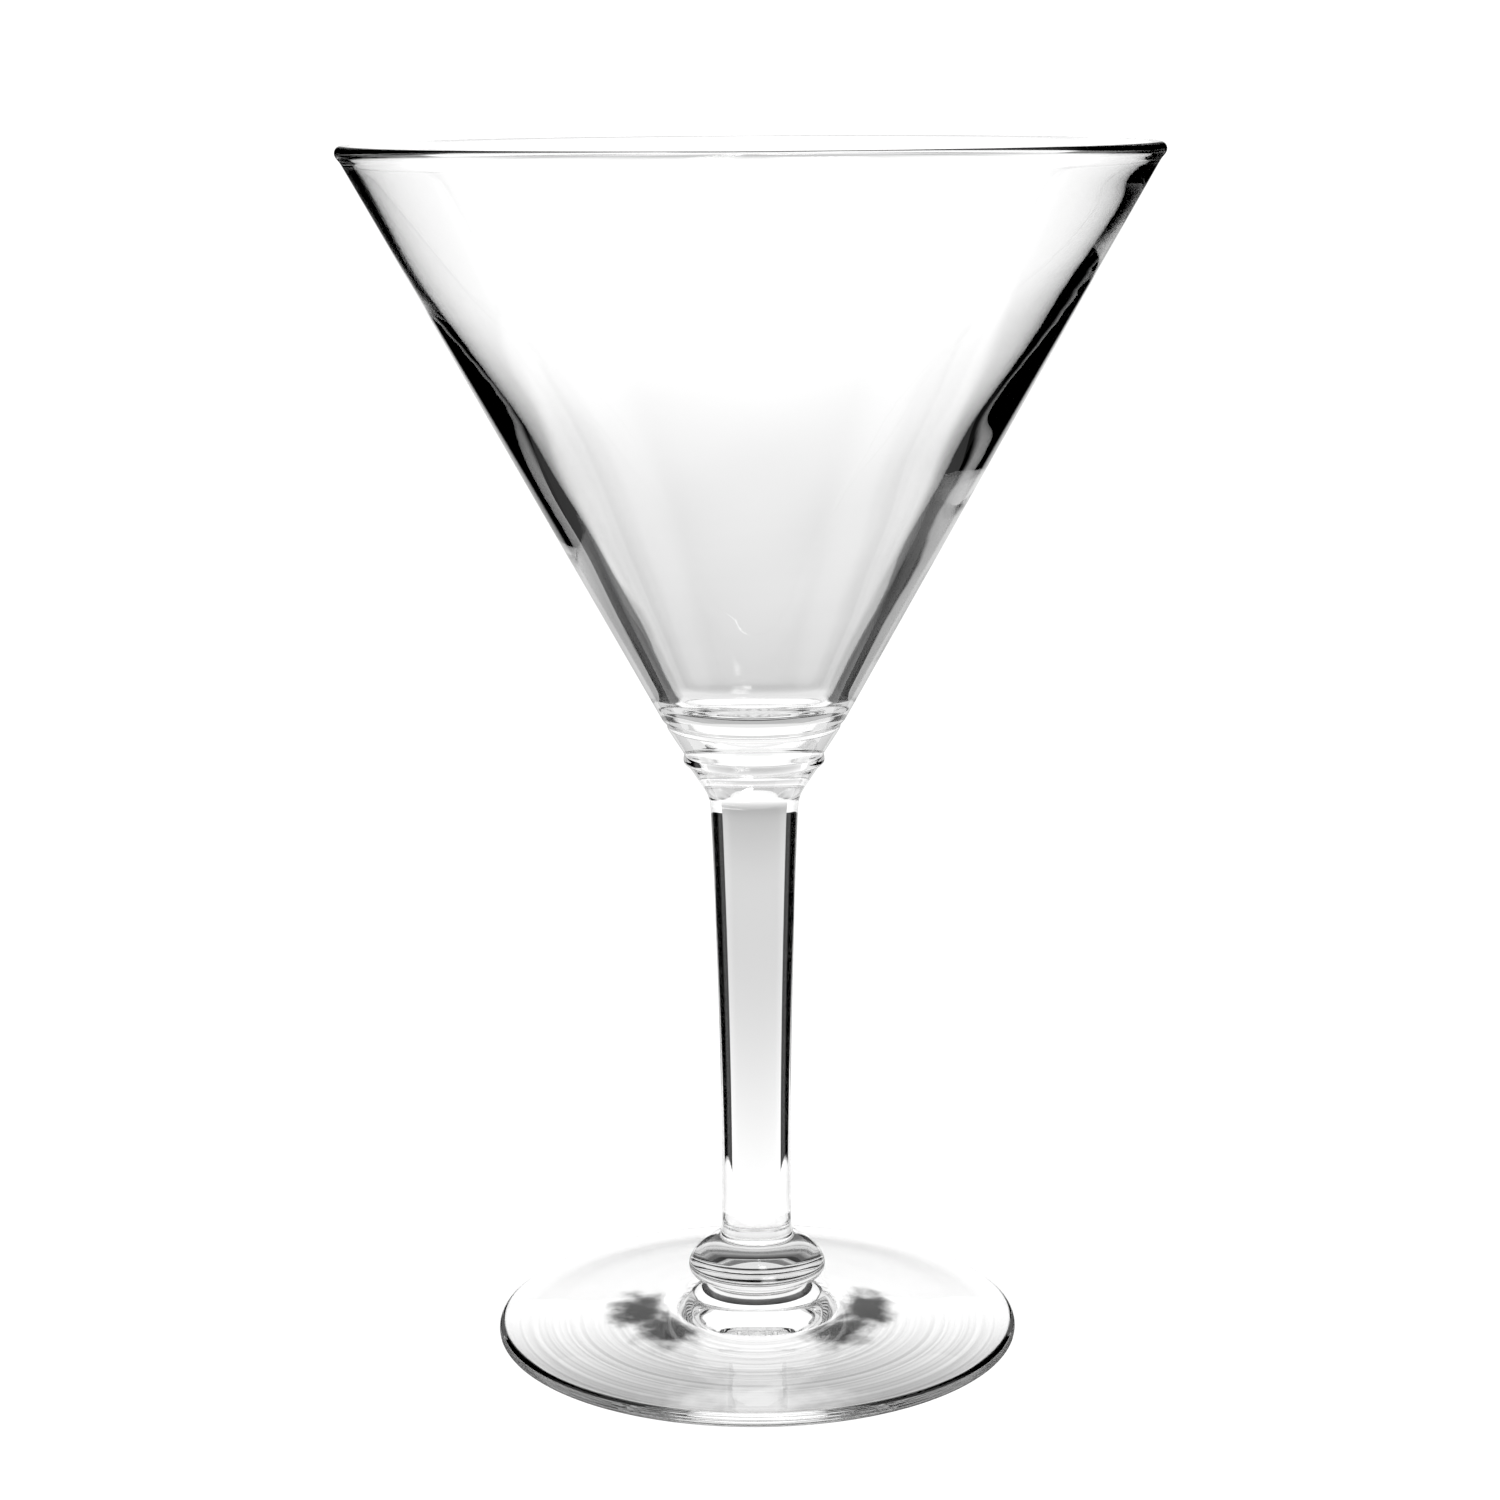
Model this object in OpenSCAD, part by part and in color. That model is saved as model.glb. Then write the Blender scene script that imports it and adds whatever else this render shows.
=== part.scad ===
// Martini glass: a cone-shaped bowl on a drawn stem and a round foot, joined hot from five bits of clear glass.
// Millimetres, +Z up. The origin is the centre of the circle that the foot stands on.

/* [Overall] */
// height from the table to the top of the rim
total_h = 172; // [166:0.5:180]
// outer diameter over the fire-polished rim
rim_d = 113.5; // [104:0.5:122]
// outer diameter of the foot
foot_d = 76; // [70:0.5:84]

/* [Bowl] */
// height of the bowl from the weld under it to the top of the rim
bowl_h = 81; // [78:0.1:88]
// diameter of the rounded corner where the cone meets its underside
bowl_base_d = 25.9; // [25.6:0.1:28]
// how far that corner stands above the weld
bowl_base_rise = 0.45; // [0.4:0.05:0.9]
// radius of that corner
bowl_base_round = 0.8; // [0.6:0.1:1.2]
// wall thickness just under the rim
wall_top = 1.7; // [1.4:0.1:1.9]
// wall thickness where the glass has gathered, low in the bowl
wall_thick = 4.4; // [3.6:0.1:4.8]
// wall thickness just above the floor
wall_low = 3.8; // [3.2:0.1:4.2]
// height of the thickest part of the wall above the weld
thick_rise = 22; // [18:1:28]
// height above the weld from which the wall stays thin up to the rim
thin_rise = 65; // [56:1:70]
// diameter of the bead along the rim
rim_bead_d = 2.1; // [2:0.1:2.6]
// thickness of the solid glass floor at the middle
floor_t = 3; // [2.6:0.1:4]
// how far the floor rises towards its edge
floor_dish = 0.9; // [0.4:0.1:1.4]
// radius between the floor and the inside of the cone
floor_round = 4; // [2:0.1:5]

/* [Bowl button] */
// height of the button between the bowl and the stem
button_h = 6.1; // [5.6:0.1:7]
// diameter of the weld between the bowl and the button
upper_weld_d = 24.7; // [24:0.1:25.2]
// diameter of the button just above its wafer
neck_d = 19.6; // [18.8:0.1:19.8]
// diameter of the thin wafer at the bottom of the button
wafer_d = 20.1; // [19.9:0.1:21]
// thickness of the wafer
wafer_t = 1.2; // [1:0.1:1.5]

/* [Stem] */
// diameter of the weld between the button and the stem
stem_top_weld_d = 18.8; // [18.2:0.1:19.6]
// diameter of the stem below its flared top
stem_top_d = 12.5; // [11.4:0.1:13]
// diameter of the stem where it is thinnest
stem_thin_d = 10; // [9:0.1:10.6]
// diameter of the stem at its lower end
stem_end_d = 10.6; // [10.2:0.1:11]
// height of the thinnest point above the stem's lower end
stem_thin_rise = 12.5; // [10:0.5:16]
// depth of the fine drawing rings near the stem's lower end
ring_depth = 0.09; // [0.05:0.01:0.15]

/* [Foot collar] */
// height of the collar between the stem and the foot
collar_h = 6.6; // [6.2:0.1:7.4]
// diameter of the collar where it is widest
collar_d = 20.2; // [19:0.1:22]
// how far its widest part stands above the foot
collar_edge_rise = 2.35; // [2.1:0.05:2.7]
// diameter of the weld between the stem and the collar
collar_top_d = 11.4; // [11.2:0.1:12]
// diameter of the waist between the collar and the foot
waist_d = 14.8; // [14.2:0.1:15.6]

/* [Foot] */
// height of the foot at its middle
foot_h = 7.6; // [7:0.1:8.6]
// thickness of the foot at its edge
foot_edge_t = 2; // [1.8:0.1:2.6]
// height of the foot where the boss at its middle ends
foot_slope_h = 4.2; // [3.8:0.1:4.8]
// diameter of the boss where it runs out into the foot
boss_d = 21; // [20:0.5:24]
// width of the flat ring that the foot stands on
rest_ring_w = 2.4; // [1.6:0.1:3.2]
// how far the underside is hollowed at the middle
foot_hollow = 1.4; // [0.8:0.1:1.8]

/* [Hidden] */
$fn = 96;
glass_clear = [0.86, 0.88, 0.88, 0.40];
glass_pale = [0.80, 0.82, 0.82, 0.50];
glass_deep = [0.74, 0.76, 0.76, 0.55];
// heights of the four welds, from the table up
foot_top_z = foot_h;
collar_top_z = foot_top_z + collar_h;
bowl_z = total_h - bowl_h;
stem_top_z = bowl_z - button_h;
// the largest turn of one flat step along a rounded corner
arc_step = 11;

// a vector with the length of one
function unit(v) = v / norm(v);

// the angle of a vector above the radial direction
function heading(v) = atan2(v[1], v[0]);

// a turn brought to within half a circle either way
function short_turn(a) = a > 180 ? a - 360 : a < -180 ? a + 360 : a;

// points along an arc about c
function arc(c, r, from, turn, steps) =
    [for (i = [0:steps]) c + r * [cos(from + turn * i / steps), sin(from + turn * i / steps)]];

// the corner b of the path a, b, c, rounded to the radius r
function rounded_corner(a, b, c, r) =
    let (
        back = unit(a - b),
        ahead = unit(c - b),
        half = acos(back * ahead) / 2,
        centre = b + unit(back + ahead) * r / sin(half),
        first = heading(b + back * r / tan(half) - centre),
        last = heading(b + ahead * r / tan(half) - centre),
        turn = short_turn(last - first)
    )
    arc(centre, r, first, turn, max(1, ceil(abs(turn) / arc_step)));

// an outline of [radius, height] or [radius, height, rounding] points as plain points
function outline(path) = [
    for (i = [0:len(path) - 1])
        each (
            len(path[i]) == 3
                ? rounded_corner(
                    flat_point(path[i - 1]), flat_point(path[i]), flat_point(path[i + 1]), path[i][2])
                : [path[i]]
        )
];

function flat_point(p) = [p[0], p[1]];

// Bowl: its wall leans by wall_lean, so that its outside passes the base corner and the bead's side
rim_bead_r = rim_bead_d / 2;
bead_centre = [rim_d / 2 - rim_bead_r, total_h - rim_bead_r];
base_corner = [bowl_base_d / 2, bowl_z + bowl_base_rise];
base_to_bead = bead_centre - base_corner;
wall_lean = atan2(base_to_bead[0], base_to_bead[1]) + asin(wall_top / 2 / norm(base_to_bead));
wall_up = [sin(wall_lean), cos(wall_lean)];
wall_out = [cos(wall_lean), -sin(wall_lean)];
// the bead runs into the wall over a short ramp at this angle
bead_ramp = 12;
bead_side = rim_bead_r * cos(bead_ramp);
ramp_drop = rim_bead_r * sin(bead_ramp) + (bead_side - wall_top / 2) / tan(bead_ramp);
ramp_outside = bead_centre - wall_up * ramp_drop + wall_out * wall_top / 2;
ramp_inside = bead_centre - wall_up * ramp_drop - wall_out * wall_top / 2;
bead_turn = 180 + 2 * bead_ramp;
bead_steps = 18;
floor_z = bowl_z + floor_t;
floor_edge_z = floor_z + floor_dish;
outside_at_floor = base_corner[0] + (floor_edge_z - base_corner[1]) * tan(wall_lean);
floor_edge_r = outside_at_floor - wall_low / cos(wall_lean);
floor_flat = 0.45;
thick_z = bowl_z + thick_rise;
thin_z = bowl_z + thin_rise;
gather_steps = 16;
low_steps = 5;

// an even start and an even end between 0 and 1
function ease(u) = u * u * (3 - 2 * u);

// a point on the inside of the wall at the height z, where the wall is t thick
function inside_point(z, t) =
    [base_corner[0] + (z - base_corner[1]) * tan(wall_lean) - t / cos(wall_lean), z];

gather_points = [
    for (i = [0:gather_steps])
        let (u = i / gather_steps)
        inside_point(thin_z + (thick_z - thin_z) * u, wall_top + (wall_thick - wall_top) * ease(u))
];

low_points = [
    for (i = [1:low_steps - 1])
        let (u = i / low_steps)
        inside_point(thick_z + (floor_edge_z - thick_z) * u, wall_thick + (wall_low - wall_thick) * u * u)
];

bowl_outline = concat(
    outline([
        [0, bowl_z],
        [upper_weld_d / 2, bowl_z],
        [base_corner[0], base_corner[1], bowl_base_round],
        ramp_outside
    ]),
    arc(bead_centre, rim_bead_r, -wall_lean - bead_ramp, bead_turn, bead_steps),
    [ramp_inside],
    gather_points,
    outline(concat(low_points, [
        [floor_edge_r, floor_edge_z, floor_round],
        [floor_edge_r * floor_flat, floor_z],
        [0, floor_z]
    ]))
);

// Bowl button: a neck that widens like a trumpet up to the bowl, above a thin round-edged wafer
neck_r = neck_d / 2;
wafer_r = wafer_d / 2;
wafer_top_z = stem_top_z + wafer_t;
wafer_round = 0.3;
wafer_tuck = 0.2;
// the small fillet where the neck meets the wafer
neck_foot_h = 0.25;
neck_foot_round = 0.2;
// the rounded shoulder just under the bowl
neck_top_out = 0.05;
neck_top_drop = 0.55;
neck_top_round = 0.8;

button_outline = outline([
    [0, stem_top_z],
    [stem_top_weld_d / 2, stem_top_z],
    [wafer_r, stem_top_z + wafer_tuck, wafer_round],
    [wafer_r, wafer_top_z, wafer_round],
    [neck_r, wafer_top_z + neck_foot_h, neck_foot_round],
    [upper_weld_d / 2 + neck_top_out, bowl_z - neck_top_drop, neck_top_round],
    [upper_weld_d / 2, bowl_z],
    [0, bowl_z]
]);

// Stem: a flared top, a long drawn taper and fine rings near its lower end
stem_thin_z = collar_top_z + stem_thin_rise;
flare_h = 4.5;
flare_out = 0.2;
flare_round = 5;
flare_tail_h = 6.2;
flare_tail_out = 0.02;
taper_top_z = stem_top_z - 6.6;
taper_steps = 12;
taper_power = 1.7;
ring_top_z = collar_top_z + 4.7;
ring_lead_in = 0.9;
ring_pitch = 0.7;
ring_count = 3;
ring_r = stem_thin_d / 2 + 0.08;
end_r = stem_end_d / 2;
below_rings_r = ring_r + 0.02;
below_rings_h = 1.8;
end_step_h = 0.75;
end_step_round = 0.6;

function taper_r(u) = (stem_thin_d + (stem_top_d - stem_thin_d) * pow(u, taper_power)) / 2;

taper_points = [
    for (i = [0:taper_steps])
        let (u = 1 - i / taper_steps)
        [taper_r(u), stem_thin_z + (taper_top_z - stem_thin_z) * u]
];

ring_points = [
    for (i = [0:ring_count])
        for (side = [0, 1])
            [ring_r - side * ring_depth, ring_top_z - (i + side / 2) * ring_pitch]
];

stem_outline = concat(
    [[0, stem_top_z]],
    outline([
        [stem_top_weld_d / 2, stem_top_z],
        [stem_top_d / 2 + flare_out, stem_top_z - flare_h, flare_round],
        [stem_top_d / 2 + flare_tail_out, stem_top_z - flare_tail_h]
    ]),
    taper_points,
    [[stem_thin_d / 2, ring_top_z + ring_lead_in]],
    ring_points,
    outline([
        [below_rings_r, collar_top_z + below_rings_h],
        [end_r, collar_top_z + end_step_h, end_step_round],
        [end_r, collar_top_z],
        [0, collar_top_z]
    ])
);

// Foot collar: a domed ring with a rounded edge and a short waist above the foot
collar_r = collar_d / 2;
collar_edge_z = foot_top_z + collar_edge_rise;
collar_edge_round = 1.6;
waist_r = waist_d / 2;
waist_nip_w = 0.1;
waist_nip_h = 0.5;
waist_round = 0.4;
under_collar_w = 0.35;
under_collar_drop = 1.25;
under_collar_round = 1;
// the dome above the edge, as shares of its height
dome_h = collar_top_z - collar_edge_z;
brow_w = 0.8;
brow_share = 0.41;
brow_round = 4;
crown_w = 2.8;
crown_share = 0.82;
crown_round = 6;

collar_outline = outline([
    [0, foot_top_z],
    [waist_r, foot_top_z],
    [waist_r - waist_nip_w, foot_top_z + waist_nip_h, waist_round],
    [collar_r - under_collar_w, collar_edge_z - under_collar_drop, under_collar_round],
    [collar_r, collar_edge_z, collar_edge_round],
    [collar_r - brow_w, collar_edge_z + dome_h * brow_share, brow_round],
    [collar_r - crown_w, collar_edge_z + dome_h * crown_share, crown_round],
    [collar_top_d / 2, collar_top_z],
    [0, collar_top_z]
]);

// Foot: a boss that runs out into a shallow cone, a rounded edge and a hollowed underside
foot_r = foot_d / 2;
foot_edge_round = foot_edge_t * 0.46;
under_edge_h = 0.25;
under_edge_round = 0.8;
slope_bend_r = foot_r * 0.72;
slope_bend_z = foot_edge_t + 0.55;
slope_bend_round = 60;
boss_foot_round = 9;
boss_side_w = 0.9;
boss_side_h = 1.2;
boss_side_round = 2;
rest_out_r = foot_r - 1.3;
rest_in_r = rest_out_r - rest_ring_w;
hollow_steps = 6;

hollow_points = [
    for (i = [1:hollow_steps])
        let (u = 1 - i / hollow_steps)
        [rest_in_r * u, foot_hollow * (1 - u * u)]
];

foot_outline = concat(
    outline([
        [rest_in_r, 0],
        [rest_out_r, 0],
        [foot_r, under_edge_h, under_edge_round],
        [foot_r, foot_edge_t, foot_edge_round],
        [slope_bend_r, slope_bend_z, slope_bend_round],
        [boss_d / 2, foot_slope_h, boss_foot_round],
        [waist_r + boss_side_w, foot_top_z - boss_side_h, boss_side_round],
        [waist_r, foot_top_z],
        [0, foot_top_z]
    ]),
    [for (i = [len(hollow_points) - 1:-1:0]) hollow_points[i]]
);

module bowl() {
    color(glass_clear)
        rotate_extrude()
            polygon(bowl_outline);
}

module bowl_button() {
    color(glass_pale)
        rotate_extrude()
            polygon(button_outline);
}

module stem() {
    color(glass_clear)
        rotate_extrude()
            polygon(stem_outline);
}

module foot_collar() {
    color(glass_deep)
        rotate_extrude()
            polygon(collar_outline);
}

module foot() {
    color(glass_pale)
        rotate_extrude()
            polygon(foot_outline);
}

bowl();
bowl_button();
stem();
foot_collar();
foot();
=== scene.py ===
import math

import bpy
import numpy as np
from mathutils import Matrix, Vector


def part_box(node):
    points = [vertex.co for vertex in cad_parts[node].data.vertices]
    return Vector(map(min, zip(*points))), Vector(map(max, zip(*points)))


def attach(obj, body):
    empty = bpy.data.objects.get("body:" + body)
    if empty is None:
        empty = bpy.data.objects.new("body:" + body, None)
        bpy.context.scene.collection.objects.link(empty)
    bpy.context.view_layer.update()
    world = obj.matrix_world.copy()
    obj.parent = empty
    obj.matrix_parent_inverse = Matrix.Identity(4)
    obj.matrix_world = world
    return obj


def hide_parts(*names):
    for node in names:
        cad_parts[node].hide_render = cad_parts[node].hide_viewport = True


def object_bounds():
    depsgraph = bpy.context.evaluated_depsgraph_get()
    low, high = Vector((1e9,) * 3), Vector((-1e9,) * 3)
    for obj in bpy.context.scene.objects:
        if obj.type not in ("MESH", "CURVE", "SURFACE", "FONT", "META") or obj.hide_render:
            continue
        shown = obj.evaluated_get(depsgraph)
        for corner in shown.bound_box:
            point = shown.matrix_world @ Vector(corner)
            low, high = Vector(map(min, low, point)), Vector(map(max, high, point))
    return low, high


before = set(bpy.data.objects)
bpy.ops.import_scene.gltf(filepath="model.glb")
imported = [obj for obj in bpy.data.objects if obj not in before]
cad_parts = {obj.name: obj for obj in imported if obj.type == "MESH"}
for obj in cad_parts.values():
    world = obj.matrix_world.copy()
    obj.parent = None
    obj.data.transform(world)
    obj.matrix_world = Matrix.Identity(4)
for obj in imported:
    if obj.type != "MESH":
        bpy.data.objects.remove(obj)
cad_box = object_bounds()

# Sizes, in metres, from the frame
MM = 0.001
PIECES = ("foot", "foot_collar", "stem", "bowl_button", "bowl")  # from the table up
height = cad_box[1][2]
foot_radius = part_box("foot")[1][0]
bowl_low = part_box("bowl")[0][2]

# How finely the pieces are turned
SEGMENTS = 192
FINE_STEP = 0.1 * MM
MELT = 0.25 * MM  # how far fire polishing has softened each corner
MELT_REACH = 4  # the softening is left out beyond this many times that far
LONGEST_STEP = 1.0 * MM
LARGEST_TURN = math.radians(5)
SAME_PLACE = 1e-6
DIGITS = 6  # places are rounded to the same micrometre

# The floor, which stays just clear of the foot
FLOOR_HALF = 40 * height
FLOOR_DROP = 0.1 * MM
FLOOR_TONE = 0.9

# The inside of the bowl: how far its gathered glass is slid up one side, as a share of the radius, and
# where its unevenness fades out under the rim and over the floor
GATHER_TILT = 0.1
RIM_FADE = 12 * MM
BOWL_FLOOR_CLEAR = 8 * MM
BOWL_FLOOR_FADE = 10 * MM
# its broad and its drawn waves: their depth, their crests round the bowl, and in radians their slant, how
# far they are turned, their rhythm up the wall and where that rhythm starts
WALL_WAVES = ((0.05 * MM, 3, 6.0, 0.0, 11.0, 1.3), (0.03 * MM, 7, -9.0, 0.8, 23.0, 0.0))

# The turning rings on the foot: their height, how fast they follow each other along the radius, how
# uneven they are, in what rhythm, and the plain middle and the soft edges of their stretch
RING_HEIGHT = 0.02 * MM
RING_RATE = 3.1 / MM
RING_UNEVEN = 0.4
RING_RHYTHM = 0.7 / MM
RING_CLEAR = 9 * MM
RING_FADE = 3 * MM


# ---------------------------------------------------------------- outlines

def seam_outline(node):
    """The outline of a round CAD node in its XZ half plane, as ordered (radius, height) points."""
    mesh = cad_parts[node].data
    seam = {}
    for vertex in mesh.vertices:
        x, y, z = vertex.co
        if abs(y) < SAME_PLACE and x > -SAME_PLACE:
            seam[vertex.index] = (round(x, DIGITS), round(z, DIGITS))
    links = {}
    for edge in mesh.edges:
        a, b = (seam.get(i) for i in edge.vertices)
        if a is not None and b is not None and a != b:
            links.setdefault(a, set()).add(b)
            links.setdefault(b, set()).add(a)
    ends = [place for place, near in links.items() if len(near) == 1]
    walk = [min(ends, key=lambda place: (place[1], place[0]))]
    while True:
        onward = [p for p in links[walk[-1]] if p not in walk[-2:]]
        if not onward:
            return walk
        walk.append(onward[0])


def whole_outline():
    """One path over the whole glass, from under the foot to the bowl's floor, and where each piece begins."""
    path = []
    begins = []
    for node in PIECES:
        walk = seam_outline(node)
        if path and math.dist(walk[0], path[-1]) > math.dist(walk[-1], path[-1]):
            walk.reverse()
        if path and math.dist(walk[0], path[-1]) > SAME_PLACE:
            path.append(walk[0])
        begins.append(max(0, len(path) - 1))
        path += walk if not path else walk[1:]
    path.append((0.0, path[-1][1]))
    return np.array(path), begins


def softened(path, begins):
    """The path in even fine steps with its corners melted round, and each piece's first index."""
    lengths = np.concatenate([[0], np.cumsum(np.linalg.norm(np.diff(path, axis=0), axis=1))])
    count = int(lengths[-1] / FINE_STEP) + 1
    at = np.linspace(0, lengths[-1], count)
    fine = np.stack([np.interp(at, lengths, path[:, k]) for k in (0, 1)], axis=1)
    reach = int(MELT_REACH * MELT / FINE_STEP)
    weights = np.exp(-0.5 * (np.arange(-reach, reach + 1) * FINE_STEP / MELT) ** 2)
    weights /= weights.sum()
    mirror = np.array([-1, 1])
    padded = np.concatenate([fine[reach:0:-1] * mirror, fine, fine[-2:-reach - 2:-1] * mirror])
    soft = np.stack([np.convolve(padded[:, k], weights, "valid") for k in (0, 1)], axis=1)
    soft[0, 0] = soft[-1, 0] = 0
    starts = [int(round(lengths[b] / lengths[-1] * (count - 1))) for b in begins]
    return soft, starts + [count - 1]


def thinned(points, first, last):
    """Indices from first to last, closer together where the path turns than where it is straight."""
    steps = np.diff(points, axis=0)
    headings = np.unwrap(np.arctan2(steps[:, 1], steps[:, 0]))
    kept = [first]
    for i in range(first + 1, last):
        far = np.linalg.norm(points[i] - points[kept[-1]])
        turn = abs(headings[min(i, len(headings) - 1)] - headings[kept[-1]])
        if far > LONGEST_STEP or turn > LARGEST_TURN:
            kept.append(i)
    return kept + [last]


# ---------------------------------------------------------------- glass made uneven, as by hand

def foot_rings(radius):
    """Fine turning rings on the top of the foot."""
    return RING_HEIGHT * np.sin(radius * RING_RATE + RING_UNEVEN * np.sin(radius * RING_RHYTHM))


def wall_wave(angle, z):
    """Small thick and thin places left by the tools on the inside of the bowl."""
    up = (z - bowl_low) / (height - bowl_low)
    total = 0.0
    for depth, crests, slant, turned, rhythm, start in WALL_WAVES:
        total = total + depth * np.sin(crests * angle + slant * up + turned) * np.sin(rhythm * up + start)
    return total


def uneven(node, points, radius, z, angle):
    """Moves a piece's rings of points along the path's own normals where the glass is uneven."""
    along = np.gradient(points, axis=0)
    along /= np.linalg.norm(along, axis=1, keepdims=True)
    outward = np.stack([along[:, 1], -along[:, 0]], axis=1)
    shift = np.zeros_like(radius)
    if node == "bowl":
        top = int(np.argmax(points[:, 1]))
        inside = np.arange(len(points)) > top
        below_rim = np.clip((height - points[:, 1]) / RIM_FADE, 0, 1)
        above_floor = (points[:, 1] - bowl_low - BOWL_FLOOR_CLEAR) / BOWL_FLOOR_FADE
        above_floor = np.clip(above_floor, 0, 1)
        share = inside * below_rim ** 2 * (3 - 2 * below_rim) * above_floor
        shift = share[:, None] * wall_wave(angle, z)
        # the gathered glass sits higher on one side, so the inside is slid along the wall
        slide = share[:, None] * GATHER_TILT * radius * np.cos(angle)
        wall = points[top] - points[int(np.argmax(points[:, 1] > (bowl_low + height) / 2))]
        wall = wall / np.linalg.norm(wall)
        radius = radius + slide * wall[0]
        z = z + slide * wall[1]
    if node == "foot":
        edge = int(np.argmax(points[:, 0]))
        on_top = np.arange(len(points)) > edge
        share = on_top * np.clip((foot_radius - points[:, 0]) / RING_FADE, 0, 1)
        share = share * np.clip((points[:, 0] - RING_CLEAR) / RING_FADE, 0, 1)
        shift = share[:, None] * foot_rings(radius)
    return radius + shift * outward[:, :1], z + shift * outward[:, 1:]


# ---------------------------------------------------------------- meshes

def turned_mesh(node, points):
    """A closed mesh turned from a piece of the path. Slot 0 is its skin, slot 1 its weld discs."""
    angles = np.arange(SEGMENTS) * (2 * math.pi / SEGMENTS)
    open_ends = [points[0, 0] > SAME_PLACE, points[-1, 0] > SAME_PLACE]
    rings = points[(0 if open_ends[0] else 1):(len(points) if open_ends[1] else -1)]
    radius = np.repeat(rings[:, :1], SEGMENTS, axis=1)
    z = np.repeat(rings[:, 1:], SEGMENTS, axis=1)
    radius, z = uneven(node, rings, radius, z, angles[None, :])
    places = np.stack([radius * np.cos(angles), radius * np.sin(angles), z], axis=2)
    places = places.reshape(-1, 3).tolist()
    count = len(rings)
    faces = []
    for ring in range(count - 1):
        low = ring * SEGMENTS
        for i in range(SEGMENTS):
            j = (i + 1) % SEGMENTS
            faces.append((low + i, low + j, low + SEGMENTS + j, low + SEGMENTS + i))
    welds = []
    for end, ring in ((0, 0), (1, count - 1)):
        low = ring * SEGMENTS
        loop = [low + i for i in range(SEGMENTS)]
        if end == 0:
            loop.reverse()
        if open_ends[end]:
            welds.append(tuple(loop))
        else:
            pole = len(places)
            places.append((0.0, 0.0, float(points[0 if end == 0 else -1, 1])))
            for i in range(SEGMENTS):
                faces.append((loop[i], loop[(i + 1) % SEGMENTS], pole))
    skin_faces = len(faces)
    mesh = bpy.data.meshes.new(node)
    mesh.from_pydata(places, [], faces + welds)
    is_weld = [i >= skin_faces for i in range(len(mesh.polygons))]
    mesh.polygons.foreach_set("use_smooth", [not weld for weld in is_weld])
    mesh.polygons.foreach_set("material_index", [int(weld) for weld in is_weld])
    mesh.update()
    return mesh


def turned_piece(node, points, skin, weld):
    """Builds one piece of the glass in place of its CAD node."""
    mesh = turned_mesh(node, points)
    mesh.materials.append(skin)
    mesh.materials.append(weld)
    piece = bpy.data.objects.new(node + "_glass", mesh)
    bpy.context.scene.collection.objects.link(piece)
    piece.visible_shadow = False
    piece.visible_diffuse = False
    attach(piece, "root")
    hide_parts(node)


# ---------------------------------------------------------------- materials

def new_material(name):
    """A material with nothing but its output node, which it also gives with its node tree."""
    material = bpy.data.materials.new(name)
    material.use_nodes = True
    tree = material.node_tree
    tree.nodes.clear()
    output = tree.nodes.new("ShaderNodeOutputMaterial")
    return material, tree, output


GLASS_IOR = 1.52
# smears: the size of their noise, the noise where they begin and are strongest, and their roughness
SMEAR_SCALE = 60.0
SMEAR_DETAIL = 3.0
SMEAR_RANGE = (0.5, 0.8)
SMEAR_ROUGHNESS = 0.015
# the surface's wave: the size of its noise, and the share and the depth of its bump
WAVE_SCALE = 90.0
WAVE_DETAIL = 1.0
WAVE_SHARE = 0.08
WAVE_DEPTH = 0.05 * MM


def glass_skin():
    """Clear fire-polished glass with a trace of surface wave and a few wiped smears."""
    material, tree, output = new_material("clear_glass")
    shader = tree.nodes.new("ShaderNodeBsdfPrincipled")
    shader.inputs["Base Color"].default_value = (1.0, 1.0, 1.0, 1.0)
    shader.inputs["Transmission Weight"].default_value = 1.0
    shader.inputs["IOR"].default_value = GLASS_IOR
    coordinates = tree.nodes.new("ShaderNodeTexCoord")
    smear = tree.nodes.new("ShaderNodeTexNoise")
    smear.inputs["Scale"].default_value = SMEAR_SCALE
    smear.inputs["Detail"].default_value = SMEAR_DETAIL
    rough = tree.nodes.new("ShaderNodeMapRange")
    rough.inputs["From Min"].default_value = SMEAR_RANGE[0]
    rough.inputs["From Max"].default_value = SMEAR_RANGE[1]
    rough.inputs["To Min"].default_value = 0.0
    rough.inputs["To Max"].default_value = SMEAR_ROUGHNESS
    wave = tree.nodes.new("ShaderNodeTexNoise")
    wave.inputs["Scale"].default_value = WAVE_SCALE
    wave.inputs["Detail"].default_value = WAVE_DETAIL
    bump = tree.nodes.new("ShaderNodeBump")
    bump.inputs["Strength"].default_value = WAVE_SHARE
    bump.inputs["Distance"].default_value = WAVE_DEPTH
    links = tree.links
    links.new(coordinates.outputs["Object"], smear.inputs["Vector"])
    links.new(coordinates.outputs["Object"], wave.inputs["Vector"])
    links.new(smear.outputs["Fac"], rough.inputs["Value"])
    links.new(rough.outputs["Result"], shader.inputs["Roughness"])
    links.new(wave.outputs["Fac"], bump.inputs["Height"])
    links.new(bump.outputs["Normal"], shader.inputs["Normal"])
    links.new(shader.outputs["BSDF"], output.inputs["Surface"])
    return material


def weld_clear():
    """Where two bits of glass have run together there is no surface, so light passes straight on."""
    material, tree, output = new_material("weld_inside")
    shader = tree.nodes.new("ShaderNodeBsdfTransparent")
    tree.links.new(shader.outputs["BSDF"], output.inputs["Surface"])
    return material


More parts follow.
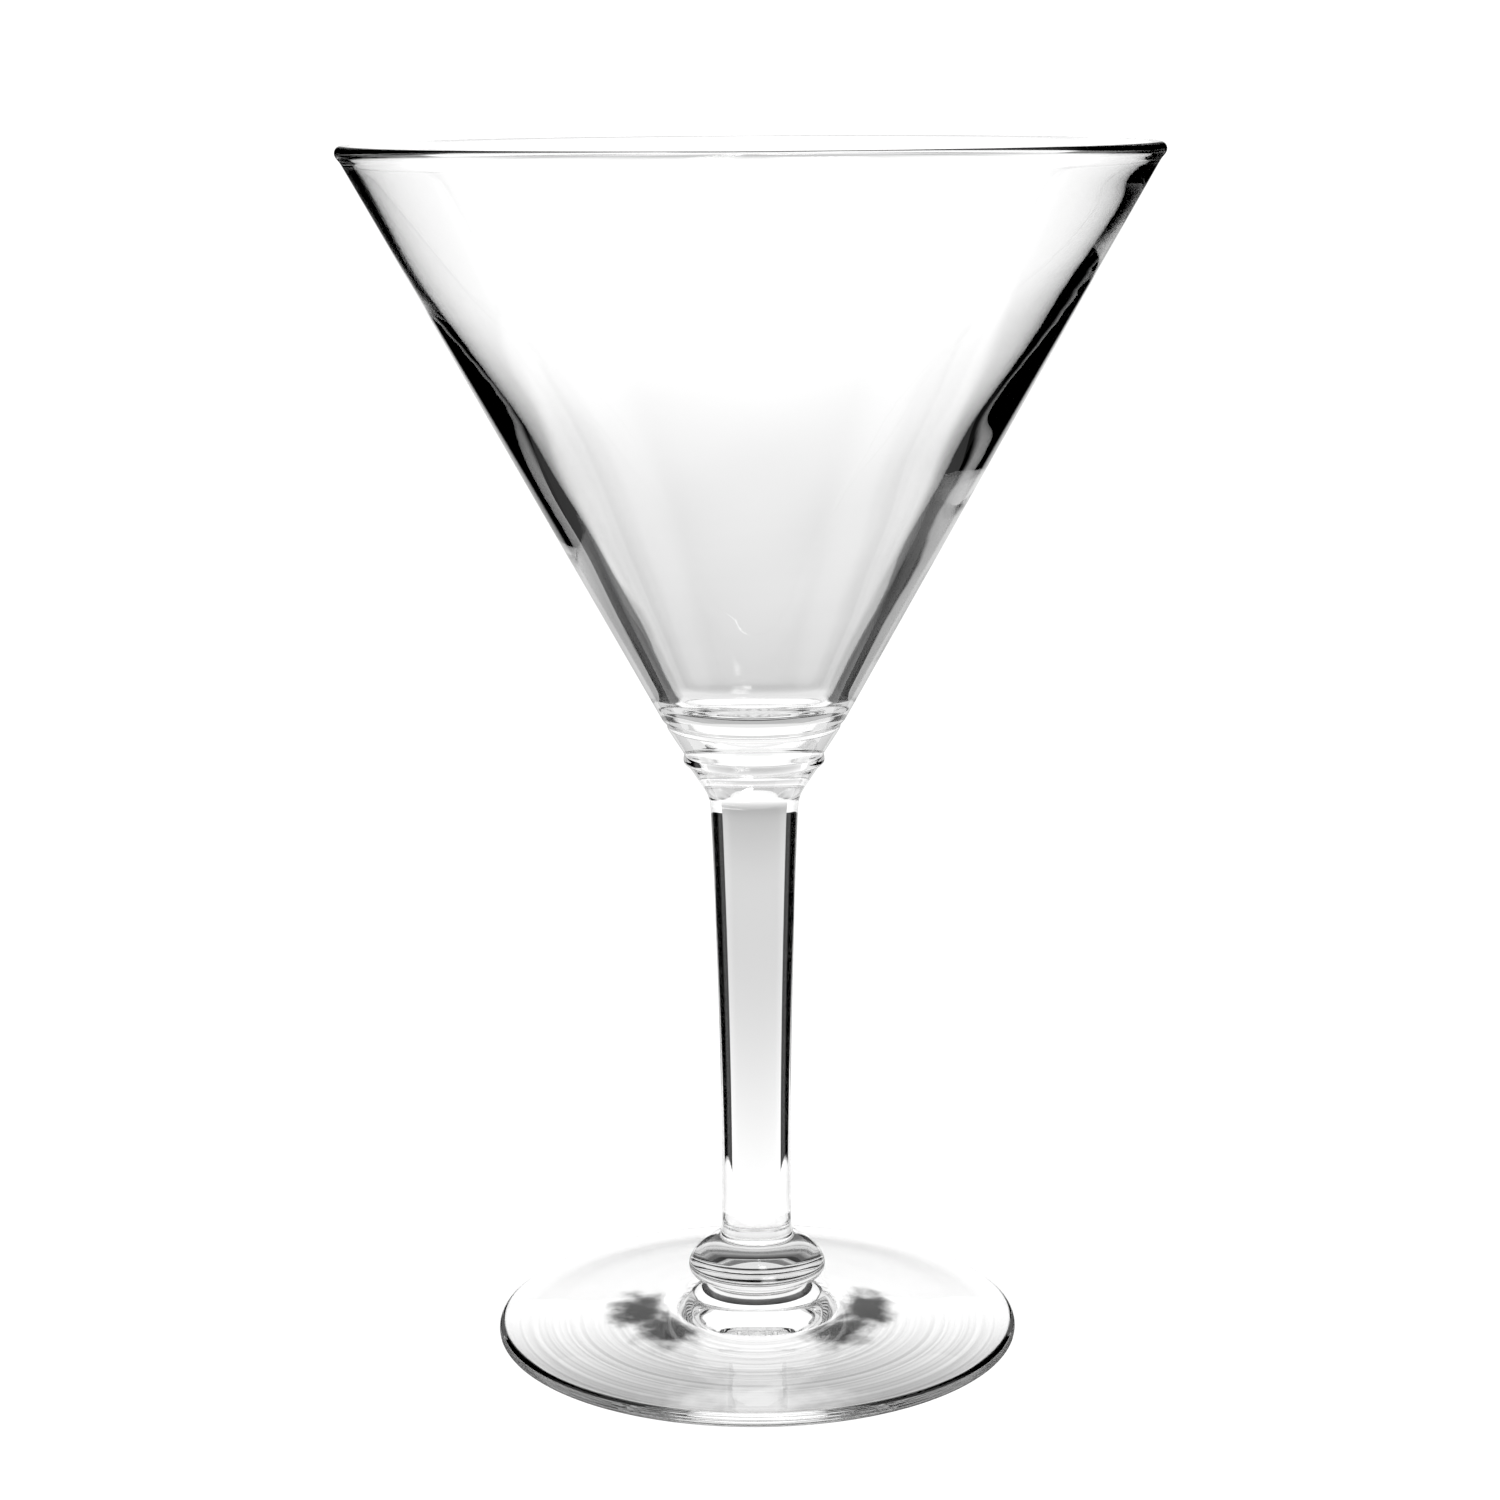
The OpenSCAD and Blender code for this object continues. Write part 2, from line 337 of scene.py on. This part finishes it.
def pale_floor():
    """The plain matt floor of the studio."""
    material, tree, output = new_material("pale_floor")
    shader = tree.nodes.new("ShaderNodeBsdfDiffuse")
    shader.inputs["Color"].default_value = (FLOOR_TONE, FLOOR_TONE, FLOOR_TONE, 1.0)
    tree.links.new(shader.outputs["BSDF"], output.inputs["Surface"])
    return material


# ---------------------------------------------------------------- studio

def make_floor():
    """A floor that the camera sees and the glass doesn't."""
    mesh = bpy.data.meshes.new("floor")
    signs = ((-1, -1), (1, -1), (1, 1), (-1, 1))
    corners = [(x * FLOOR_HALF, y * FLOOR_HALF, 0) for x, y in signs]
    mesh.from_pydata(corners, [], [(0, 1, 2, 3)])
    floor = bpy.data.objects.new("floor", mesh)
    floor.location.z = -FLOOR_DROP
    mesh.materials.append(pale_floor())
    floor.visible_transmission = False
    floor.visible_glossy = False
    bpy.context.scene.collection.objects.link(floor)


class Sums:
    """Short forms for a node tree's arithmetic."""

    def __init__(self, tree):
        self.tree = tree

    def math(self, operation, a, b=0.0):
        node = self.tree.nodes.new("ShaderNodeMath")
        node.operation = operation
        for socket, value in zip(node.inputs, (a, b)):
            self.put(socket, value)
        return node.outputs[0]

    def ramp(self, value, low, high, to_low=0.0, to_high=1.0):
        node = self.tree.nodes.new("ShaderNodeMapRange")
        node.interpolation_type = "SMOOTHSTEP"
        names = ("Value", "From Min", "From Max", "To Min", "To Max")
        for name, number in zip(names, (value, low, high, to_low, to_high)):
            self.put(node.inputs[name], number)
        return node.outputs[0]

    def length(self, a, b):
        """The length of a line that runs a across and b along."""
        return self.math("SQRT", self.math("ADD", self.math("MULTIPLY", a, a), self.math("MULTIPLY", b, b)))

    def noise(self, socket, place, scale, detail):
        """Noise from -0.5 to 0.5, at a place given as a vector or as one number."""
        node = self.tree.nodes.new("ShaderNodeTexNoise")
        if socket == "W":
            node.noise_dimensions = "1D"
        node.inputs["Scale"].default_value = scale
        node.inputs["Detail"].default_value = detail
        self.put(node.inputs[socket], place)
        return self.math("SUBTRACT", node.outputs["Fac"], 0.5)

    def blend(self, share, a, b):
        node = self.tree.nodes.new("ShaderNodeMix")
        for name, number in zip(("Factor", "A", "B"), (share, a, b)):
            self.put(node.inputs[name], number)
        return node.outputs[0]

    def band(self, value, limits):
        """1 between two limits, with soft edges, and 0 beyond them."""
        low, high, edge = limits
        rise = self.ramp(value, low - edge, low + edge)
        return self.math("MULTIPLY", rise, self.ramp(value, high - edge, high + edge, 1.0, 0.0))

    def at_least(self, count, kind):
        """1 for light that Light Path says has this depth or more of a kind, 0 for other light."""
        rays = self.tree.nodes.new("ShaderNodeLightPath")
        return self.math("GREATER_THAN", rays.outputs[kind], count - 0.5)

    def mirrored(self):
        """1 for light that has been reflected on its way, 0 for light straight through the glass."""
        return self.at_least(1, "Glossy Depth")

    def mirrored_often(self):
        """1 for light that has been reflected more than once."""
        return self.at_least(2, "Glossy Depth")

    def been_inside(self):
        """1 for light that has gone into the glass, 0 for what its outside reflects."""
        return self.at_least(1, "Transmission Depth")

    def thin(self):
        """1 for light straight through one thickness of glass, as through the stem."""
        once = self.no(self.at_least(3, "Transmission Depth"))
        return self.math("MULTIPLY", once, self.no(self.mirrored()))

    def beyond(self, length):
        """1 for light that has come further than this, in mm, since it left the glass."""
        rays = self.tree.nodes.new("ShaderNodeLightPath")
        return self.math("GREATER_THAN", rays.outputs["Ray Length"], length * MM)

    def no(self, share):
        """The rest of a share."""
        return self.math("SUBTRACT", 1.0, share)

    def put(self, socket, value):
        if isinstance(value, (int, float)):
            socket.default_value = value
        else:
            self.tree.links.new(value, socket)


# What mirrored light shows, by its direction in degrees: aside from straight behind, and up from level.
# Pairs are the ends of a change. Behind it is black, dim lower down, and the table below that is white.
WHITE = 1.1
DIM = 0.045
BLACK = 0.0
DIM_BELOW = (-23, -20)
TABLE_BELOW = (-39, -35)
# the white walls at the sides: where they come in and where they go out
SIDE_WALL = (62, 74, 96, 118)
# windows in front of the glass, on its right: from, to and how soft their edges are, aside and up
WINDOW_ASIDE = (148, 172, 5)
WINDOWS_UP = ((12, 34, 3), (64, 84, 3))
WINDOW_TONE = 6.0
OVERHEAD = (35, 50)
OVERHEAD_TONE = 0.6
# what light straight through the glass shows, and what light mirrored more than once shows, all round
PLAIN = 1.2
SCATTERED = 0.8


def make_studio():
    """Dark behind, white walls at the sides, a white table and light overhead, for the glass to show."""
    world = bpy.data.worlds.new("studio")
    bpy.context.scene.world = world
    world.use_nodes = True
    world.cycles.sampling_method = "NONE"
    tree = world.node_tree
    tree.nodes.clear()
    sums = Sums(tree)
    output = tree.nodes.new("ShaderNodeOutputWorld")
    light = tree.nodes.new("ShaderNodeBackground")
    light.inputs["Color"].default_value = (1.0, 1.0, 1.0, 1.0)
    coordinates = tree.nodes.new("ShaderNodeTexCoord")
    parts = tree.nodes.new("ShaderNodeSeparateXYZ")
    tree.links.new(coordinates.outputs["Generated"], parts.inputs[0])
    x, y, z = parts.outputs
    aside = sums.math("MULTIPLY", sums.math("ARCTAN2", sums.math("ABSOLUTE", x), y), math.degrees(1))
    up = sums.math("MULTIPLY", sums.math("ARCSINE", z), math.degrees(1))
    tone = sums.ramp(up, *DIM_BELOW, DIM, BLACK)
    low_in, low_out, high_in, high_out = SIDE_WALL
    going_out = sums.ramp(aside, high_in, high_out, 1.0, 0.0)
    wall = sums.math("MULTIPLY", sums.ramp(aside, low_in, low_out), going_out)
    tone = sums.blend(wall, tone, WHITE)
    tone = sums.blend(sums.ramp(up, *TABLE_BELOW, 1.0, 0.0), tone, WHITE)
    tone = sums.blend(sums.ramp(up, *OVERHEAD), tone, OVERHEAD_TONE)
    across = sums.math("MULTIPLY", sums.band(aside, WINDOW_ASIDE), sums.math("GREATER_THAN", x, 0.0))
    for window_up in WINDOWS_UP:
        window = sums.math("MULTIPLY", across, sums.band(up, window_up))
        tone = sums.blend(window, tone, WINDOW_TONE)
    tone = sums.blend(sums.mirrored_often(), tone, SCATTERED)
    tone = sums.blend(sums.mirrored(), PLAIN, tone)
    sums.put(light.inputs["Strength"], tone)
    tree.links.new(light.outputs[0], output.inputs["Surface"])


# The white card behind the glass, in mm: how far behind it is, its half width, and its lower and upper edge
CARD_BEHIND = 97
CARD_HALF = 160
CARD_LOW = -45
CARD_HIGH = 230
# how it goes grey downwards, how deep that grey is, and how it pales again below the stem and at the waist
CARD_WHITE = 1.2
CARD_GREY = (45, 147)
CARD_GREY_DEPTH = 0.7
CARD_FOOT_GREY = (-30, 36)
CARD_WAIST_GREY = (45, 75)
CARD_FOOT_SHARE = 0.53
# how it ends to the sides, for mirrored light and for straight light
CARD_EDGE = (66, 78)
CARD_FADE = (120, 158)
# for mirrored light: its share of the tone, the height below which light from inside the glass misses it,
# and the part that the top of the foot would mirror
CARD_MIRRORED = 0.86
CARD_DARK_BELOW = 62
CARD_OFF_FOOT = (4, 36)


def object_mm(tree, sums):
    """A card's own coordinates, in mm."""
    coordinates = tree.nodes.new("ShaderNodeTexCoord")
    parts = tree.nodes.new("ShaderNodeSeparateXYZ")
    tree.links.new(coordinates.outputs["Object"], parts.inputs[0])
    return [sums.math("MULTIPLY", part, 1 / MM) for part in parts.outputs]


def finish_paper(tree, sums, output, tone, missed):
    """Paper of a tone. The share of light that is missed goes straight past it."""
    paper = tree.nodes.new("ShaderNodeEmission")
    sums.put(paper.inputs["Strength"], tone)
    clear = tree.nodes.new("ShaderNodeBsdfTransparent")
    mix = tree.nodes.new("ShaderNodeMixShader")
    sums.put(mix.inputs[0], missed)
    tree.links.new(paper.outputs[0], mix.inputs[1])
    tree.links.new(clear.outputs[0], mix.inputs[2])
    tree.links.new(mix.outputs[0], output.inputs["Surface"])


def card_paper():
    """White paper, greyer low down where less light falls on it."""
    material, tree, output = new_material("card_paper")
    sums = Sums(tree)
    x, _, up = object_mm(tree, sums)
    across = sums.math("ABSOLUTE", x)
    foot_grey = sums.ramp(up, *CARD_FOOT_GREY, 0.0, CARD_FOOT_SHARE)
    waist_grey = sums.ramp(up, *CARD_WAIST_GREY, 0.0, 1 - CARD_FOOT_SHARE)
    low_grey = sums.math("ADD", foot_grey, waist_grey)
    grey = sums.math("MULTIPLY", sums.ramp(up, *CARD_GREY, 1.0, 0.0), low_grey)
    tone = sums.blend(grey, CARD_WHITE, CARD_WHITE * (1 - CARD_GREY_DEPTH))
    wide = sums.blend(sums.ramp(across, *CARD_FADE), tone, PLAIN)
    narrow = sums.math("MULTIPLY", tone, CARD_MIRRORED)
    narrow = sums.math("MULTIPLY", narrow, sums.ramp(across, *CARD_EDGE, 1.0, 0.0))
    mirrored = sums.mirrored()
    inside = sums.math("MULTIPLY", mirrored, sums.been_inside())
    missed_low = sums.math("MULTIPLY", inside, sums.math("LESS_THAN", up, CARD_DARK_BELOW))
    above = sums.math("GREATER_THAN", up, CARD_OFF_FOOT[0])
    off_foot = sums.math("MULTIPLY", above, sums.math("LESS_THAN", up, CARD_OFF_FOOT[1]))
    missed_low = sums.math("MAXIMUM", missed_low, sums.math("MULTIPLY", mirrored, off_foot))
    missed_wide = sums.math("MULTIPLY", sums.thin(), sums.math("GREATER_THAN", across, CARD_EDGE[0]))
    missed = sums.math("MAXIMUM", missed_low, missed_wide)
    finish_paper(tree, sums, output, sums.blend(mirrored, wide, narrow), missed)
    return material


# Two black flags behind the glass, in mm, which draw the dark lines along the stem's edges: how far they are,
# the height and the two ends in degrees of their lower and upper edges, and from how far they are still seen
FLAG_FAR = 200
FLAG_LOW = (-54, 34, 59)
FLAG_HIGH = (51, 31, 80)
FLAG_REACH = 208


def flag_paper():
    """Black paper, seen only by light straight through the stem."""
    material, tree, output = new_material("flag_paper")
    sums = Sums(tree)
    missed = sums.math("MAXIMUM", sums.no(sums.thin()), sums.beyond(FLAG_REACH))
    finish_paper(tree, sums, output, BLACK, missed)
    return material


# The table's painted shadow and light just under the foot, in mm: its radius, and how it goes from dark
# painted shadow in front to white painted light at the back
SHADE_RADIUS = 38
SHADE_FRONT = (-37, 12)
SHADE_DARKEST = 0.42
SHADE_BACK = 1.45
# for mirrored light: where the collar's part ends, the shares of the tone inside and outside it, and the
# reach, beyond which the disc isn't seen
SHADE_UNDER_COLLAR = (16, 24)
SHADE_COLLAR_SHARE = 0.65
SHADE_OUTER_SHARE = 0.1
SHADE_REACH = 50
# the painted streaks of shade and light that the foot's rings would throw: how close together, how strong,
# and where they fade out
STREAK_SCALE = 1.3
STREAK_DETAIL = 2.0
STREAK_DEPTH = 0.9
STREAK_FADE = (-20, 8)
# the two dark wings of painted shadow that the collar would cast: the line between them, their ovals as
# middle x, middle y, half width and half height, how soft their edges are, their tone, and how ragged they
# are
SHADOW_WING_MIDDLE = -0.75
SHADOW_WINGS = ((16.5, 2, 4.5, 6.5), (12, -5, 5, 6.5))
SHADOW_WING_EDGE = (0.4, 1.3)
SHADOW_WING_TONE = 0.02
RAGGED_SCALE = 260.0
RAGGED_DETAIL = 3.0
RAGGED_DEPTH = 1.4
# the painted gleam in front of the stem: its oval, its edge, how much of it covers the painted shade, and its
# tone
PAINTED_GLEAM = (0, -32, 15, 7)
PAINTED_GLEAM_EDGE = (0.1, 1.3)
PAINTED_GLEAM_SHARE = 0.85
PAINTED_GLEAM_TONE = 0.9


def spot(sums, x, y, place, wobble):
    """Distance from the middle of an oval, as a share of its size, made uneven by the wobble."""
    middle_x, middle_y, half_w, half_h = place
    across = sums.math("DIVIDE", sums.math("SUBTRACT", x, middle_x), half_w)
    along = sums.math("DIVIDE", sums.math("SUBTRACT", y, middle_y), half_h)
    return sums.math("ADD", sums.length(across, along), wobble)


def painted_shade_and_light():
    """Painted shadow and light under the foot: white to the back and greyer to the front, with fine painted
    streaks, two dark wings of painted shadow and a painted gleam.
    """
    material, tree, output = new_material("painted_shade_and_light")
    sums = Sums(tree)
    x, y, _ = object_mm(tree, sums)
    out = sums.length(x, y)
    place = tree.nodes.new("ShaderNodeTexCoord").outputs["Object"]
    ragged = sums.noise("Vector", place, RAGGED_SCALE, RAGGED_DETAIL)
    wobble = sums.math("MULTIPLY", ragged, RAGGED_DEPTH)
    # painted shadow in front, painted light to the back
    tone = sums.ramp(y, *SHADE_FRONT, SHADE_DARKEST, SHADE_BACK)
    # painted streaks of shade and light across the disc
    painted_streaks = sums.math("MULTIPLY", sums.noise("W", out, STREAK_SCALE, STREAK_DETAIL), STREAK_DEPTH)
    painted_streaks = sums.math("MULTIPLY", painted_streaks, sums.ramp(y, *STREAK_FADE, 1.0, 0.0))
    tone = sums.math("MULTIPLY", tone, sums.math("ADD", painted_streaks, 1.0))
    # a painted gleam: a bright patch standing in for light
    painted_gleam = sums.ramp(spot(sums, x, y, PAINTED_GLEAM, wobble), *PAINTED_GLEAM_EDGE, PAINTED_GLEAM_SHARE, 0.0)
    tone = sums.blend(painted_gleam, tone, PAINTED_GLEAM_TONE)
    # two dark wings of painted shadow
    aside = sums.math("ABSOLUTE", sums.math("SUBTRACT", x, SHADOW_WING_MIDDLE))
    for shadow_wing in SHADOW_WINGS:
        wing_shadow = sums.ramp(spot(sums, aside, y, shadow_wing, wobble), *SHADOW_WING_EDGE, 1.0, 0.0)
        tone = sums.blend(wing_shadow, tone, SHADOW_WING_TONE)
    mirrored = sums.mirrored()
    share = sums.ramp(out, *SHADE_UNDER_COLLAR, SHADE_COLLAR_SHARE, SHADE_OUTER_SHARE)
    tone = sums.math("MULTIPLY", tone, sums.blend(mirrored, 1.0, share))
    missed = sums.math("MULTIPLY", mirrored, sums.beyond(SHADE_REACH))
    finish_paper(tree, sums, output, tone, missed)
    return material


# A low pale wall all round the foot, in mm, which only light mirrored more than once shows, and how it is
# dark for light that has come less than that far, and unseen from further than its reach
WALL_FAR = 75
WALL_LOW = -6
WALL_HIGH = 42
WALL_TONE = 0.8
WALL_DARK_NEAR = (45, 60)
WALL_REACH = 96
# a window on its front side, with glazing bars
WALL_WINDOW = (-36, 36, 4)
WALL_WINDOW_TONE = 1.25
BAR_PITCH = 12
BAR_EDGE = (0.6, 0.95)
BAR_DEPTH = 0.45


def wall_paper():
    """Pale paper with a barred window in front."""
    material, tree, output = new_material("wall_paper")
    sums = Sums(tree)
    x, y, _ = object_mm(tree, sums)
    window = sums.math("MULTIPLY", sums.band(x, WALL_WINDOW), sums.math("LESS_THAN", y, 0.0))
    wave = sums.math("COSINE", sums.math("MULTIPLY", x, 2 * math.pi / BAR_PITCH))
    bars = sums.ramp(wave, *BAR_EDGE, 1.0, 1 - BAR_DEPTH)
    tone = sums.blend(window, WALL_TONE, sums.math("MULTIPLY", bars, WALL_WINDOW_TONE))
    rays = tree.nodes.new("ShaderNodeLightPath")
    far = sums.ramp(rays.outputs["Ray Length"], *[length * MM for length in WALL_DARK_NEAR])
    missed = sums.math("MAXIMUM", sums.no(sums.mirrored_often()), sums.beyond(WALL_REACH))
    finish_paper(tree, sums, output, sums.math("MULTIPLY", tone, far), missed)
    return material


# A small white card just behind the boss, in mm, which the lens inside the boss shows: how far behind it is,
# how far round it goes to each side, in degrees, its lower and upper edge, its tone, and its reach
LENS_CARD_FAR = 30
LENS_CARD_SIDE = 38
LENS_CARD_HEIGHTS = (14, 36)
LENS_CARD_TONE = 1.2
LENS_CARD_REACH = 32


def lens_paper():
    """White paper, seen only from close by and by light mirrored inside the glass."""
    material, tree, output = new_material("lens_paper")
    sums = Sums(tree)
    inside = sums.math("MULTIPLY", sums.mirrored(), sums.been_inside())
    missed = sums.math("MAXIMUM", sums.no(inside), sums.beyond(LENS_CARD_REACH))
    finish_paper(tree, sums, output, LENS_CARD_TONE, missed)
    return material


def stage_card(name, corners, faces, material):
    """A card of the studio, with its corners in mm, that only the glass shows."""
    mesh = bpy.data.meshes.new(name)
    mesh.from_pydata([[c * MM for c in corner] for corner in corners], [], faces)
    mesh.materials.append(material)
    card = bpy.data.objects.new(name, mesh)
    card.visible_camera = False
    card.visible_diffuse = False
    card.visible_shadow = False
    bpy.context.scene.collection.objects.link(card)


CURVE_COLUMNS = 12  # how many flat strips a curved card is made of


def curved_card(name, radius, edges, material):
    """A card curved round the glass. Each edge is its height and where it starts and ends, in degrees."""
    corners = []
    for z, start, end in edges:
        for column in range(CURVE_COLUMNS + 1):
            turn = math.radians(start + (end - start) * column / CURVE_COLUMNS)
            corners.append((radius * math.sin(turn), radius * math.cos(turn), z))
    row = CURVE_COLUMNS + 1
    faces = [(i, i + 1, row + i + 1, row + i) for i in range(CURVE_COLUMNS)]
    stage_card(name, corners, faces, material)


def ring_of_corners(radius, z):
    """Corners evenly round a circle."""
    turns = [2 * math.pi * i / SEGMENTS for i in range(SEGMENTS)]
    return [(radius * math.cos(turn), radius * math.sin(turn), z) for turn in turns]


def make_cards():
    """Every card that stands round the glass or lies under it."""
    heights = (CARD_LOW, CARD_LOW, CARD_HIGH, CARD_HIGH)
    sides = (-CARD_HALF, CARD_HALF, CARD_HALF, -CARD_HALF)
    corners = [(side, CARD_BEHIND, z) for side, z in zip(sides, heights)]
    stage_card("back_card", corners, [(0, 1, 2, 3)], card_paper())
    black = flag_paper()
    for side, name in ((-1, "flag_left"), (1, "flag_right")):
        edges = [(z, side * near, side * far) for z, near, far in (FLAG_LOW, FLAG_HIGH)]
        curved_card(name, FLAG_FAR, edges, black)
    edges = [(z, -LENS_CARD_SIDE, LENS_CARD_SIDE) for z in LENS_CARD_HEIGHTS]
    curved_card("lens_card", LENS_CARD_FAR, edges, lens_paper())
    corners = ring_of_corners(WALL_FAR, WALL_LOW) + ring_of_corners(WALL_FAR, WALL_HIGH)
    after = [(i + 1) % SEGMENTS for i in range(SEGMENTS)]
    faces = [(i, j, SEGMENTS + j, SEGMENTS + i) for i, j in enumerate(after)]
    stage_card("low_wall", corners, faces, wall_paper())
    # a disc under the foot that glows with painted shadow and light, seen only through the glass
    disc = ring_of_corners(SHADE_RADIUS, -FLOOR_DROP / MM / 2)
    stage_card("table_shade", disc, [tuple(range(SEGMENTS))], painted_shade_and_light())


# The camera: its sensor and lens, in mm, its place, in heights of the glass, and how far it is turned down
# and rolled, in degrees
SENSOR_WIDTH = 36
LENS = 77.36
CAMERA_PLACE = (-0.0033, -2.6141, 1.0486)
CAMERA_DOWN = 11.746
CAMERA_ROLL = -0.349

# How many times light may be bent and mirrored
BENDS = 32
MIRRORINGS = 16


def make_camera():
    """A long lens a little above the rim, looking down on the whole glass."""
    data = bpy.data.cameras.new("camera")
    data.sensor_width = SENSOR_WIDTH
    data.lens = LENS
    camera = bpy.data.objects.new("camera", data)
    place = Matrix.Translation([share * height for share in CAMERA_PLACE])
    look_down = Matrix.Rotation(math.radians(90 - CAMERA_DOWN), 4, "X")
    roll = Matrix.Rotation(math.radians(CAMERA_ROLL), 4, "Z")
    camera.matrix_world = place @ look_down @ roll
    bpy.context.scene.collection.objects.link(camera)
    bpy.context.scene.camera = camera


def set_looks():
    scene = bpy.context.scene
    scene.view_settings.view_transform = "Standard"
    scene.cycles.max_bounces = BENDS
    scene.cycles.transmission_bounces = BENDS
    scene.cycles.glossy_bounces = MIRRORINGS
    scene.cycles.transparent_max_bounces = BENDS
    scene.cycles.use_denoising = True


path, begins = whole_outline()
soft, starts = softened(path, begins)
skin = glass_skin()
weld = weld_clear()
for number, node in enumerate(PIECES):
    kept = thinned(soft, starts[number], starts[number + 1])
    turned_piece(node, soft[kept], skin, weld)
make_floor()
make_studio()
make_cards()
make_camera()
set_looks()
